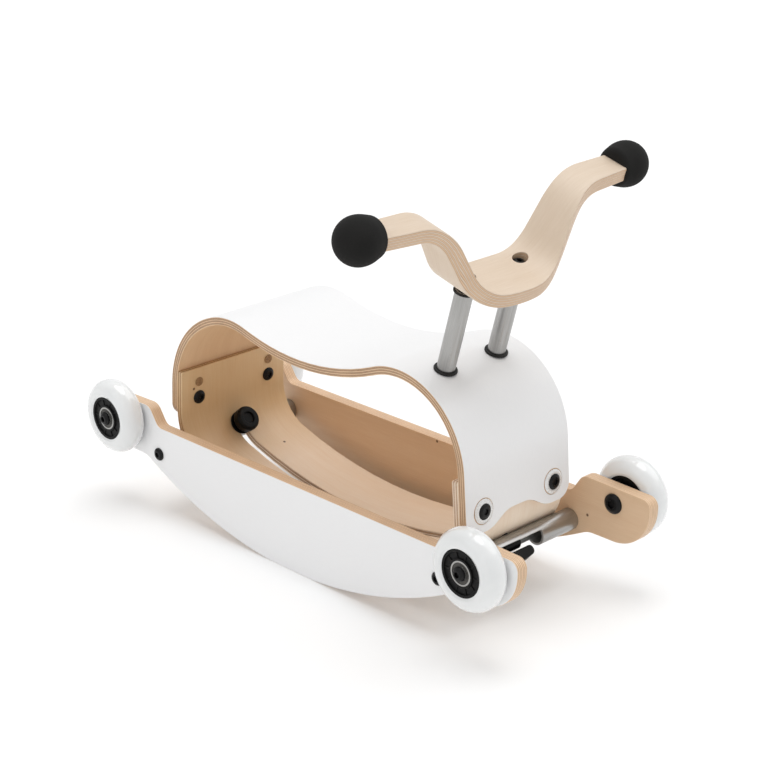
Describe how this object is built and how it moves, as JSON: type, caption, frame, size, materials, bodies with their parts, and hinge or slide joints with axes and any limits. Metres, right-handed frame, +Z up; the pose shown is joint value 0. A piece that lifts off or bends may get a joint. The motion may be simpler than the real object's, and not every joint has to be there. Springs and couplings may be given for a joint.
{
  "type": "rocking horse",
  "caption": "Rocking horse of white-faced plywood: curved saddle, gull-wing handlebar on posts, round-bottomed rockers with raised wheels, so the base can be turned over to roll.",
  "frame": {"origin": "on the floor under the middle of the bounding box, midway between the axles and between the rockers", "axes": "+X towards the handlebar (front), +Y towards the rider's left, +Z up"},
  "size_m": [0.547, 0.357, 0.3808],
  "materials": {
    "laminate": "matte white laminate on birch plywood",
    "birch": "clear-lacquered birch plywood",
    "aluminium": "satin drawn tube",
    "steel": "bright zinc",
    "black_steel": "black oxide",
    "black_plastic": "fine-textured nylon",
    "black_rubber": "satin black rubber",
    "tyre": "glossy white polyurethane",
    "cup": "white lacquer",
    "insert": "burnished brass"
  },
  "bodies": {
    "chassis": {"rocker_left": "laminate", "rocker_right": "laminate", "saddle_shell": "laminate", "under_strap": "birch", "handlebar": "birch", "cross_tube_front": "aluminium", "cross_tube_rear": "aluminium", "post_left": "aluminium", "post_right": "aluminium", "tube_plugs": "steel", "tube_nut": "steel", "clamp_washer_front": "steel", "clamp_pin": "steel", "post_anchors": "steel", "tube_bolts": "black_steel", "axle_bolts": "black_steel", "axle_nuts": "black_steel", "leg_bolts": "black_steel", "barrel_nuts": "black_steel", "bar_bolts": "black_steel", "clamp_bolt": "black_steel", "clamp_yoke": "black_plastic", "cup_washers": "cup", "spare_inserts": "insert", "foot_collars": "black_rubber", "head_collars": "black_rubber", "grip_left": "black_rubber", "grip_right": "black_rubber"},
    "wheel_front_left": {"tyre_front_left": "tyre", "hub_front_left": "black_plastic", "bearings_front_left": "steel"},
    "wheel_front_right": {"tyre_front_right": "tyre", "hub_front_right": "black_plastic", "bearings_front_right": "steel"},
    "wheel_rear_left": {"tyre_rear_left": "tyre", "hub_rear_left": "black_plastic", "bearings_rear_left": "steel"},
    "wheel_rear_right": {"tyre_rear_right": "tyre", "hub_rear_right": "black_plastic", "bearings_rear_right": "steel"},
    "knob_washer": {"clamp_washer_rear": "steel"},
    "knob": {"strap_knob": "black_plastic"},
    "lever": {"clamp_lever": "black_plastic"}
  },
  "joints": [
    {"name": "front_left_wheel_spin", "type": "hinge", "parent": "chassis", "child": "wheel_front_left", "pos_m": [0.234, 0.1023, 0.0875], "axis": [0, 1, 0], "continuous": true},
    {"name": "front_right_wheel_spin", "type": "hinge", "parent": "chassis", "child": "wheel_front_right", "pos_m": [0.234, -0.1023, 0.0875], "axis": [0, 1, 0], "continuous": true},
    {"name": "rear_left_wheel_spin", "type": "hinge", "parent": "chassis", "child": "wheel_rear_left", "pos_m": [-0.234, 0.1023, 0.0875], "axis": [0, 1, 0], "continuous": true},
    {"name": "rear_right_wheel_spin", "type": "hinge", "parent": "chassis", "child": "wheel_rear_right", "pos_m": [-0.234, -0.1023, 0.0875], "axis": [0, 1, 0], "continuous": true},
    {"name": "knob_unscrew_travel", "type": "slide", "parent": "chassis", "child": "knob_washer", "axis": [0.809, 0, 0.5878], "range_m": [0, 0.0025]},
    {"name": "knob_turn", "type": "hinge", "parent": "knob_washer", "child": "knob", "pos_m": [-0.1854, 0, 0.05768], "axis": [0.809, 0, 0.5878], "range_deg": [0, 721]},
    {"name": "clamp_lever_swing", "type": "hinge", "parent": "chassis", "child": "lever", "pos_m": [0.19571, -0.013, 0.0482], "axis": [-0.6769, 0, -0.7361], "range_deg": [0, 90]}
  ],
  "couplings": [
    {"joint": "knob_turn", "follows": "knob_unscrew_travel", "rad_per_m": 5026.5}
  ]
}
